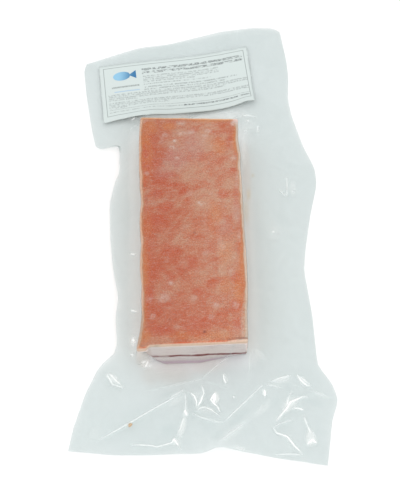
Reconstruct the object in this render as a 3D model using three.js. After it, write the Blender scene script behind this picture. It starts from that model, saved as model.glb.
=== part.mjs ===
// A raw tuna saku block in its vacuum pouch: an oblong frozen block of loin with clear film
// drawn tight round it, a wide creased skirt of film where the two sheets meet, and a paper
// label stuck on the film past the block's far end.
// Millimetres, +Z up. The pouch lies on z = 0, its long side runs along Y, and the origin is
// under the middle of the pouch. "Near" is the -Y end, "far" the +Y end.
import * as THREE from "three";

// The block: a slightly crooked oblong, given by the four corners of its top
const blockThick = 34;
const blockCorners = {
  nearLeft: [-48, -123],
  nearRight: [36, -119.5],
  farLeft: [-52.5, 85],
  farRight: [33, 83.5],
};
const edgeRound = 2.4; // radius that the film makes over the block's edges
const nearSlant = 2; // how far the foot of the near end stands out past its top
const cornerPull = { by: [-3.5, -4.5], reach: 15 }; // the near left corner is drawn out

// The film's skirt
const skirtThick = 0.9; // the two sheets and the air left between them
const webHeight = 13; // underside of the skirt where it leaves the block's sides
const webOffset = 0.8; // how far outside the block's side the two sheets meet
const tentReach = 17; // distance over which the skirt comes down to the table
const tentPower = 1.3;

// The pouch's outline, as the x of its long sides at each y and the y of its ends at each x
const leftSide = [
  [-101, -197], [-98, -179], [-90, -151], [-80, -129], [-67, -119], [-67, -107], [-69, -88],
  [-67, -72], [-73, -43], [-76, -17], [-78, 17], [-72, 52], [-72, 71], [-90, 75.5], [-94.5, 80.5],
  [-100, 110], [-104, 133], [-107.5, 160], [-105.5, 167.5],
];
const rightSide = [
  [95.5, -208], [98, -192], [101, -172], [106.5, -157], [102.5, -143], [92, -128], [91, -106],
  [90, -84], [85, -45], [87, -26], [93, 8], [100, 38], [99, 55], [90, 76], [81, 108], [78.5, 127],
  [80, 152], [79, 171], [74, 204],
];
const nearEnd = [
  [-101, -197], [-69, -200], [-39, -200], [3, -199], [12, -196], [35, -198], [59, -202.5],
  [95.5, -208],
];
const farEnd = [
  [-105.5, 167.5], [-84, 175], [-57, 185.5], [-29, 190], [4, 199], [20, 204], [48, 209],
  [68, 208.5], [74, 204],
];
const cornerSoftening = 3; // half the stretch over which the outline's corners are eased

// Folds of the skirt: a ridge from one point to another, its height at both, and its half width
const folds = [
  { from: [-80, -189], to: [-12.5, -152], high: [2, 9], wide: 13 },
  { from: [-12.5, -152], to: [-12, -169], high: [9, 5], wide: 8 },
  { from: [-12, -169], to: [-20, -189], high: [5, 3], wide: 9 },
  { from: [-53, -192], to: [-15, -195], high: [1, 4], wide: 8 },
  { from: [-7, -168], to: [16, -176], high: [3, 6], wide: 8 },
  { from: [2, -150], to: [-3, -163], high: [7, 3], wide: 6 },
  { from: [16, -176], to: [48, -146], high: [6, 9], wide: 11 },
  { from: [48, -146], to: [72, -137], high: [9, 6], wide: 9 },
  { from: [59, -149], to: [14, -196], high: [5, 10], wide: 15 },
  { from: [82, -155], to: [58, -174], high: [7, 5], wide: 9 },
  { from: [72, -137], to: [100, -156], high: [6, 2], wide: 8 },
  { from: [55, -179], to: [77, -200], high: [5, 4], wide: 8 },
  { from: [79, -169], to: [85, -190], high: [5, 6], wide: 8 },
  { from: [34, -120], to: [0, -141], high: [6, 5], wide: 12 },
  { from: [0, -141], to: [-44, -150], high: [5, 1], wide: 10 },
  { from: [-73, -137], to: [-60, -148], high: [5, 3], wide: 7 },
  { from: [73, 46], to: [74, 22], high: [4, 3], wide: 7 },
  { from: [-53, 86], to: [-45, 112], high: [8, 5], wide: 17 },
  { from: [33, 85], to: [46, 122], high: [4, 5], wide: 13 },
];
const ripple = { high: 1.1, long: 21, skew: 60, phase: 2.2 }; // lazy waves over the skirt

// Paper label, by its corners seen from above
const labelCorners = {
  nearLeft: [-86.5, 99.5],
  nearRight: [48.5, 123],
  farLeft: [-94, 162.5],
  farRight: [42.5, 186],
};
const labelThick = 0.35;
const labelGap = 0.7; // clear air under the paper
const labelLift = 1.2; // its near edge stands off the film a little
const labelCells = { across: 26, along: 11 };

// Cells of the film's grid, from left to right and from near to far. Between the skirt and
// the block's top there are two more on every side: the wall and the rounded edge.
const cells = { left: 7, blockWide: 12, right: 9, near: 14, blockLong: 27, far: 17 };
const wallCells = 2;
const slantFade = 4; // cells over which the near end's slant dies away
const rimEase = 4; // the rim's marks beside the block lie this much past its corners
const relaxSweeps = 1500;

const mix = THREE.MathUtils.lerp;
const clamp = THREE.MathUtils.clamp;

// Reads a list of points as a function of one coordinate: key 0 gives y at x, key 1 gives x at y.
function readLine(points, key, at) {
  const last = points.length - 1;
  const step = clamp(points.findIndex((p) => p[key] >= at), 1, last);
  const a = points[step - 1];
  const b = points[at > points[last][key] ? last : step];
  const share = clamp((at - a[key]) / Math.max(b[key] - a[key], 1e-6), 0, 1);
  return mix(a[1 - key], b[1 - key], share);
}

// The same with its corners eased by averaging over a short stretch.
function readOutline(points, key, at) {
  const first = points[0][key];
  const last = points[points.length - 1][key];
  const reach = Math.min(cornerSoftening, at - first, last - at);
  const offsets = [-1, -0.5, 0, 0.5, 1];
  const sum = offsets.reduce((total, k) => total + readLine(points, key, at + k * reach), 0);
  return sum / offsets.length;
}

// A point of the block seen from above: offsets in millimetres from its left and near sides.
function blockPoint(fromLeft, fromNear) {
  const { nearLeft, nearRight, farLeft, farRight } = blockCorners;
  const across = fromLeft / (nearRight[0] - nearLeft[0]);
  const along = fromNear / (farLeft[1] - nearLeft[1]);
  const pull = Math.exp(-Math.hypot(fromLeft, fromNear) / cornerPull.reach);
  const at = (k) =>
    mix(mix(nearLeft[k], nearRight[k], across), mix(farLeft[k], farRight[k], across), along);
  return [0, 1].map((k) => at(k) + pull * cornerPull.by[k]);
}

// Where the grid lines cross the block, counted from its left or near side: the line where
// the sheets meet, the foot of the rounded edge, then evenly over the top and out again.
function blockLines(size, count) {
  const top = Array.from({ length: count + 1 }, (_, k) =>
    mix(edgeRound, size - edgeRound, k / count),
  );
  return [-webOffset, 0, ...top, size, size + webOffset];
}

// The film's grid is a table of [x, y] places. Its first and last lines are the rim, and in
// the middle of it some columns and rows belong to the block.
const gridLayout = (() => {
  const { nearLeft, nearRight, farLeft } = blockCorners;
  const acrossBlock = blockLines(nearRight[0] - nearLeft[0], cells.blockWide);
  const alongBlock = blockLines(farLeft[1] - nearLeft[1], cells.blockLong);
  const columns = cells.left + acrossBlock.length - 1 + cells.right;
  const rows = cells.near + alongBlock.length - 1 + cells.far;
  return {
    acrossBlock, alongBlock, columns, rows,
    blockColumns: [cells.left, columns - cells.right],
    blockRows: [cells.near, rows - cells.far],
  };
})();

// Steps along one side of the rim: even before, beside and after the block.
function rimStep(index, [from, to], total, marks) {
  if (index <= from) return mix(marks[0], marks[1], index / from);
  if (index <= to) return mix(marks[1], marks[2], (index - from) / (to - from));
  return mix(marks[2], marks[3], (index - to) / (total - to));
}

// A point of a long side of the rim, on the given row.
function sidePoint(side, row) {
  const ends = [side[0][1], side[side.length - 1][1]];
  const { nearLeft, farLeft } = blockCorners;
  const marks = [ends[0], nearLeft[1] - rimEase, farLeft[1] + rimEase, ends[1]];
  const y = rimStep(row, gridLayout.blockRows, gridLayout.rows, marks);
  return [readOutline(side, 1, y), y];
}

// A point of an end of the rim, on the given column.
function endPoint(end, column) {
  const ends = [end[0][0], end[end.length - 1][0]];
  const { nearLeft, nearRight } = blockCorners;
  const marks = [ends[0], nearLeft[0] - rimEase, nearRight[0] + rimEase, ends[1]];
  const x = rimStep(column, gridLayout.blockColumns, gridLayout.columns, marks);
  return [x, readOutline(end, 0, x)];
}

// First place of a grid point: on the rim, on the block, or at the block's nearest point.
function firstPlace(r, c) {
  const { acrossBlock, alongBlock, columns, rows, blockColumns, blockRows } = gridLayout;
  if (c === 0) return sidePoint(leftSide, r);
  if (c === columns) return sidePoint(rightSide, r);
  if (r === 0) return endPoint(nearEnd, c);
  if (r === rows) return endPoint(farEnd, c);
  const line = (list, k) => list[clamp(k, 0, list.length - 1)];
  return blockPoint(line(acrossBlock, c - blockColumns[0]), line(alongBlock, r - blockRows[0]));
}

// How many lines in from the skirt's inner edge: 0 on it, and below 0 in the skirt.
function linesIn(r, c) {
  const { blockColumns, blockRows } = gridLayout;
  const across = Math.min(c - blockColumns[0], blockColumns[1] - c);
  return Math.min(across, r - blockRows[0], blockRows[1] - r);
}

// Lays the grid, then relaxes the skirt's points until the lines fan out evenly to the rim.
function layGrid() {
  const { columns, rows } = gridLayout;
  const grid = Array.from({ length: rows + 1 }, (_, r) =>
    Array.from({ length: columns + 1 }, (_, c) => firstPlace(r, c)),
  );
  for (let sweep = 0; sweep < relaxSweeps; sweep++) {
    for (let r = 1; r < rows; r++) {
      for (let c = 1; c < columns; c++) {
        if (linesIn(r, c) >= 0) continue;
        const around = [grid[r][c - 1], grid[r][c + 1], grid[r - 1][c], grid[r + 1][c]];
        grid[r][c] = [0, 1].map((k) => around.reduce((sum, p) => sum + p[k], 0) / 4);
      }
    }
  }
  return grid;
}

function distanceToBlock(x, y) {
  const { nearLeft, nearRight, farLeft, farRight } = blockCorners;
  const along = clamp((y - nearLeft[1]) / (farLeft[1] - nearLeft[1]), 0, 1);
  const across = clamp((x - nearLeft[0]) / (nearRight[0] - nearLeft[0]), 0, 1);
  const left = mix(nearLeft[0], farLeft[0], along);
  const right = mix(nearRight[0], farRight[0], along);
  const near = mix(nearLeft[1], nearRight[1], across);
  const far = mix(farLeft[1], farRight[1], across);
  return Math.hypot(Math.max(left - x, x - right, 0), Math.max(near - y, y - far, 0));
}

// Height of one fold at a point: a straight ridge that falls away evenly on both sides.
function foldHeight({ from, to, high, wide }, x, y) {
  const [runX, runY] = [to[0] - from[0], to[1] - from[1]];
  const share = ((x - from[0]) * runX + (y - from[1]) * runY) / (runX * runX + runY * runY);
  const t = clamp(share, 0, 1);
  const away = Math.hypot(x - from[0] - t * runX, y - from[1] - t * runY);
  return mix(high[0], high[1], t) * Math.max(0, 1 - away / wide);
}

// Underside of the skirt: a tent from the block's sides, lazy waves, and the highest fold there.
function skirtHeight(x, y) {
  const away = distanceToBlock(x, y);
  const tent = webHeight * Math.exp(-((Math.max(away - webOffset, 0) / tentReach) ** tentPower));
  const open = 1 - Math.exp(-away / tentReach);
  const wave = Math.sin(x / ripple.long - ripple.phase) * Math.cos(y / ripple.long + x / ripple.skew);
  const ridge = Math.max(...folds.map((fold) => foldHeight(fold, x, y)));
  return tent + open * (ripple.high * (1 + wave) + ridge);
}

// Joins a top and a bottom sheet of the same grid into one closed solid.
function closedSheet(top, bottom) {
  const rows = top.length;
  const columns = top[0].length;
  const positions = [...top.flat(2), ...bottom.flat(2)];
  const sheet = rows * columns;
  const id = (r, c, side) => side * sheet + r * columns + c;
  const index = [];
  const quad = (a, b, c, d) => index.push(a, b, c, a, c, d);
  for (let r = 0; r < rows - 1; r++) {
    for (let c = 0; c < columns - 1; c++) {
      // both sheets are cut along the same diagonal, so that a thin skirt keeps its thickness
      quad(id(r, c, 0), id(r, c + 1, 0), id(r + 1, c + 1, 0), id(r + 1, c, 0));
      quad(id(r, c, 1), id(r + 1, c, 1), id(r + 1, c + 1, 1), id(r, c + 1, 1));
    }
  }
  const edge = (r, c, nextR, nextC) =>
    quad(id(r, c, 1), id(nextR, nextC, 1), id(nextR, nextC, 0), id(r, c, 0));
  for (let c = 0; c < columns - 1; c++) {
    edge(0, c, 0, c + 1);
    edge(rows - 1, c + 1, rows - 1, c);
  }
  for (let r = 0; r < rows - 1; r++) {
    edge(r + 1, 0, r, 0);
    edge(r, columns - 1, r + 1, columns - 1);
  }
  const geometry = new THREE.BufferGeometry();
  geometry.setAttribute("position", new THREE.Float32BufferAttribute(positions, 3));
  geometry.setIndex(index);
  geometry.computeVertexNormals();
  return geometry;
}

// Underside and top of the pouch at a grid point.
function pouchHeights(r, c, [x, y]) {
  const inward = linesIn(r, c);
  if (inward <= 0) return [skirtHeight(x, y), skirtHeight(x, y) + skirtThick];
  if (inward < wallCells) return [edgeRound, blockThick - edgeRound];
  return [0, blockThick];
}

// How far the near end's slant moves a point out, at its height above the table.
function slantAt(r, c, z) {
  const { blockColumns, blockRows } = gridLayout;
  const rowGap = Math.max(blockRows[0] - r, r - blockRows[0] - wallCells);
  const columnGap = Math.max(blockColumns[0] - c, c - blockColumns[1]);
  const gap = Math.max(0, rowGap, columnGap);
  return nearSlant * (1 - z / blockThick) * Math.max(0, 1 - gap / slantFade);
}

// The sealed pouch with the block in it: one solid, from the rim of the skirt to the block's top.
function pouch() {
  const grid = layGrid();
  const sheet = (side) =>
    grid.map((row, r) =>
      row.map((at, c) => {
        const z = pouchHeights(r, c, at)[side];
        return [at[0], at[1] - slantAt(r, c, z), z];
      }),
    );
  return closedSheet(sheet(1), sheet(0));
}

// The paper label: it follows the film below it, but more stiffly, and lifts at its near edge.
function label() {
  const { nearLeft, nearRight, farLeft, farRight } = labelCorners;
  const sheet = (rise) =>
    Array.from({ length: labelCells.along + 1 }, (_, r) =>
      Array.from({ length: labelCells.across + 1 }, (_, c) => {
        const [across, along] = [c / labelCells.across, r / labelCells.along];
        const [x, y] = [0, 1].map((k) =>
          mix(mix(nearLeft[k], nearRight[k], across), mix(farLeft[k], farRight[k], across), along),
        );
        const film = skirtHeight(x, y) + skirtThick;
        return [x, y, film + labelGap + labelLift * (1 - along) ** 2 + rise];
      }),
    );
  return closedSheet(sheet(labelThick), sheet(0));
}

const clearFilm = new THREE.MeshStandardMaterial({
  color: 0xd5e0df, roughness: 0.25, metalness: 0, opacity: 0.6, transparent: true,
});
const whitePaper = new THREE.MeshStandardMaterial({ color: 0xe6ece9, roughness: 0.6, metalness: 0 });

function piece(name, geometry, material) {
  const mesh = new THREE.Mesh(geometry, material);
  mesh.name = name;
  return mesh;
}

const pack = new THREE.Group();
pack.add(piece("pouch", pouch(), clearFilm));
pack.add(piece("label", label(), whitePaper));

// Stand the pack on z = 0 with the origin under the middle of its outline
const bounds = new THREE.Box3().setFromObject(pack);
const middle = bounds.getCenter(new THREE.Vector3());
pack.position.set(-middle.x, -middle.y, -bounds.min.z);

export default pack;
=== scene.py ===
import math

import bpy
import numpy as np
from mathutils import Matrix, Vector
from mathutils.bvhtree import BVHTree


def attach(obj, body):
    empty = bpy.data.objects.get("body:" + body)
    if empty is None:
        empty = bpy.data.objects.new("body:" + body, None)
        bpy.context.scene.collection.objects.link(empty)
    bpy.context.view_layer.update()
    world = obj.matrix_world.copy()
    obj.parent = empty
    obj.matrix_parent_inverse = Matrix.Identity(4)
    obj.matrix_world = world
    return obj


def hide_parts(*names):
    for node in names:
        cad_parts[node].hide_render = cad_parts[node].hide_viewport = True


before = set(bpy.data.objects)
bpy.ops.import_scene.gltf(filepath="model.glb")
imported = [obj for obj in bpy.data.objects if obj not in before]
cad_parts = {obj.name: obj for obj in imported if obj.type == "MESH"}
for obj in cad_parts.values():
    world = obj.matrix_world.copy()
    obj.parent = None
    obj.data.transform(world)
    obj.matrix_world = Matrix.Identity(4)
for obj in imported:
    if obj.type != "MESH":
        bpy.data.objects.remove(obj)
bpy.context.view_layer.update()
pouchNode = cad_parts["pouch"]
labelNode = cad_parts["label"]
mm = 0.001
print("frame loaded")


def pickOnly(obj):
    if bpy.context.mode != "OBJECT":
        bpy.ops.object.mode_set(mode="OBJECT")
    bpy.ops.object.select_all(action="DESELECT")
    obj.select_set(True)
    bpy.context.view_layer.objects.active = obj


def editAll(obj):
    pickOnly(obj)
    bpy.ops.object.mode_set(mode="EDIT")
    bpy.ops.mesh.select_mode(type="FACE")
    bpy.ops.mesh.select_all(action="SELECT")


def editFaces(obj, picked):
    pickOnly(obj)
    bpy.ops.object.mode_set(mode="EDIT")
    bpy.ops.mesh.select_mode(type="FACE")
    bpy.ops.mesh.select_all(action="DESELECT")
    bpy.ops.object.mode_set(mode="OBJECT")
    obj.data.polygons.foreach_set("select", picked)
    bpy.ops.object.mode_set(mode="EDIT")


def leaveEdit():
    bpy.ops.object.mode_set(mode="OBJECT")


def applyModifier(obj, kind, **settings):
    pickOnly(obj)
    modifier = obj.modifiers.new(kind, kind)
    for name, value in settings.items():
        setattr(modifier, name, value)
    bpy.ops.object.modifier_apply(modifier=modifier.name)


def readPoints(obj):
    flat = np.empty(len(obj.data.vertices) * 3)
    obj.data.vertices.foreach_get("co", flat)
    return flat.reshape(-1, 3)


def writePoints(obj, points):
    obj.data.vertices.foreach_set("co", points.ravel())
    obj.data.update()


def faceCentres(obj):
    flat = np.empty(len(obj.data.polygons) * 3)
    obj.data.polygons.foreach_get("center", flat)
    return flat.reshape(-1, 3)


def faceNormals(obj):
    flat = np.empty(len(obj.data.polygons) * 3)
    obj.data.polygons.foreach_get("normal", flat)
    return flat.reshape(-1, 3)


def pointNormals(obj):
    flat = np.empty(len(obj.data.vertices) * 3)
    obj.data.vertex_normals.foreach_get("vector", flat)
    return flat.reshape(-1, 3)


def storeMap(obj, name, values):
    layer = obj.data.attributes.new(name, "FLOAT", "POINT")
    layer.data.foreach_set("value", np.asarray(values, dtype=np.float32))


def readMap(obj, name):
    values = np.empty(len(obj.data.vertices), dtype=np.float32)
    obj.data.attributes[name].data.foreach_get("value", values)
    return values


# distance in plan from points to a path, and the place along the path, 0 to 1
def alongPath(points, path):
    path = np.array(path, dtype=float)
    steps = np.hypot(*(path[1:] - path[:-1])[:, :2].T)
    total, passed = steps.sum(), 0.0
    best, place = np.full(len(points), 1e9), np.zeros(len(points))
    for a, b, long in zip(path, path[1:], steps):
        line = (b - a)[:2]
        t = np.clip(((points[:, :2] - a[:2]) @ line) / (line @ line), 0, 1)
        away = np.hypot(*(points[:, :2] - a[:2] - t[:, None] * line).T)
        nearer = away < best
        best = np.where(nearer, away, best)
        place = np.where(nearer, (passed + t * long) / total, place)
        passed += long
    return best, place


# soft round patch, 1 in the middle and 0 from its rim on
def patch(points, x, y, wide, deep, turn=0):
    c, s = math.cos(math.radians(turn)), math.sin(math.radians(turn))
    dx, dy = points[:, 0] - x, points[:, 1] - y
    u, v = (dx * c + dy * s) / wide, (dy * c - dx * s) / deep
    return np.clip(1 - np.sqrt(u * u + v * v), 0, 1)


def ease(values):
    values = np.clip(values, 0, 1)
    return values * values * (3 - 2 * values)


def copyOfNode(node, name):
    obj = node.copy()
    obj.data = node.data.copy()
    obj.name = name
    obj.data.name = name
    bpy.context.scene.collection.objects.link(obj)
    obj.hide_render = obj.hide_viewport = False
    obj.hide_set(False)
    obj.parent = None
    obj.matrix_world.identity()
    obj.data.materials.clear()
    editAll(obj)
    bpy.ops.mesh.remove_doubles(threshold=1e-5)
    bpy.ops.mesh.tris_convert_to_quads(face_threshold=math.radians(60), shape_threshold=math.radians(60))
    leaveEdit()
    return obj


def finishPiece(obj, stands, material):
    obj.data.materials.clear()
    obj.data.materials.append(material)
    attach(obj, "root")
    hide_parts(stands)


def tone(red, green, blue):
    def linear(c):
        c /= 255
        return c / 12.92 if c <= 0.04045 else ((c + 0.055) / 1.055) ** 2.4
    return (linear(red), linear(green), linear(blue), 1)


class Paint:
    def __init__(self, name):
        self.material = bpy.data.materials.new(name)
        self.material.use_nodes = True
        self.tree = self.material.node_tree
        self.tree.nodes.clear()
        self.out = self.add("ShaderNodeOutputMaterial")
        self.place = self.add("ShaderNodeTexCoord").outputs["Object"]

    def add(self, kind, **settings):
        made = self.tree.nodes.new(kind)
        for name, value in settings.items():
            setattr(made, name, value)
        return made

    def feed(self, socket, value):
        if isinstance(value, bpy.types.NodeSocket):
            self.tree.links.new(value, socket)
        else:
            socket.default_value = value

    def calc(self, operation, a, b=0.0, clamp=False):
        made = self.add("ShaderNodeMath", operation=operation, use_clamp=clamp)
        self.feed(made.inputs[0], a)
        self.feed(made.inputs[1], b)
        return made.outputs[0]

    def span(self, value, low, high, toLow=0.0, toHigh=1.0):
        made = self.add("ShaderNodeMapRange", interpolation_type="SMOOTHSTEP")
        for socket, v in zip(made.inputs, (value, low, high, toLow, toHigh)):
            self.feed(socket, v)
        return made.outputs[0]

    def scaled(self, x, y, z, turn=0):
        made = self.add("ShaderNodeMapping", vector_type="TEXTURE")
        self.feed(made.inputs["Vector"], self.place)
        made.inputs["Rotation"].default_value = (0, 0, math.radians(turn))
        made.inputs["Scale"].default_value = (1 / x, 1 / y, 1 / z)
        return made.outputs[0]

    def noise(self, where, scale, detail=3.0, rough=0.5, warp=0.0):
        made = self.add("ShaderNodeTexNoise")
        self.feed(made.inputs["Vector"], where)
        made.inputs["Scale"].default_value = scale
        made.inputs["Detail"].default_value = detail
        made.inputs["Roughness"].default_value = rough
        made.inputs["Distortion"].default_value = warp
        return made.outputs["Fac"]

    # noise by a row of settings: stretch along x and y, turn, spots in a metre, detail, roughness, warp
    def spots(self, row):
        return self.noise(self.scaled(row[0], row[1], 1, row[2]), *row[3:])

    def axes(self):
        split = self.add("ShaderNodeSeparateXYZ")
        self.feed(split.inputs[0], self.place)
        return split.outputs

    def map(self, name):
        return self.add("ShaderNodeAttribute", attribute_name=name).outputs["Fac"]

    def mix(self, share, a, b, blend="MIX"):
        made = self.add("ShaderNodeMix", data_type="RGBA", blend_type=blend)
        self.feed(made.inputs["Factor"], share)
        self.feed(made.inputs[6], a)
        self.feed(made.inputs[7], b)
        return made.outputs[2]

    # a colour laid over another as a value goes from start to full
    def layer(self, colour, over, value, start, full, share=1.0):
        return self.mix(self.span(value, start, full, 0.0, share), colour, over)

    # a colour laid over another by a map of the mesh
    def cover(self, colour, over, name, share=1.0):
        return self.mix(self.calc("MULTIPLY", self.map(name), share), colour, over)

    def grey(self, value):
        made = self.add("ShaderNodeCombineColor")
        for socket in made.inputs:
            self.feed(socket, value)
        return made.outputs[0]

    def bump(self, height, distance, strength=1.0):
        made = self.add("ShaderNodeBump")
        self.feed(made.inputs["Height"], height)
        made.inputs["Distance"].default_value = distance
        made.inputs["Strength"].default_value = strength
        return made.outputs["Normal"]

    def surface(self, colour, rough, normal=None, **constants):
        made = self.add("ShaderNodeBsdfPrincipled")
        self.feed(made.inputs["Base Color"], colour)
        self.feed(made.inputs["Roughness"], rough)
        if normal is not None:
            self.feed(made.inputs["Normal"], normal)
        for name, value in constants.items():
            made.inputs[name.replace("_", " ")].default_value = value
        return made.outputs[0]

    def show(self, shader):
        self.feed(self.out.inputs["Surface"], shader)
        return self.material


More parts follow.
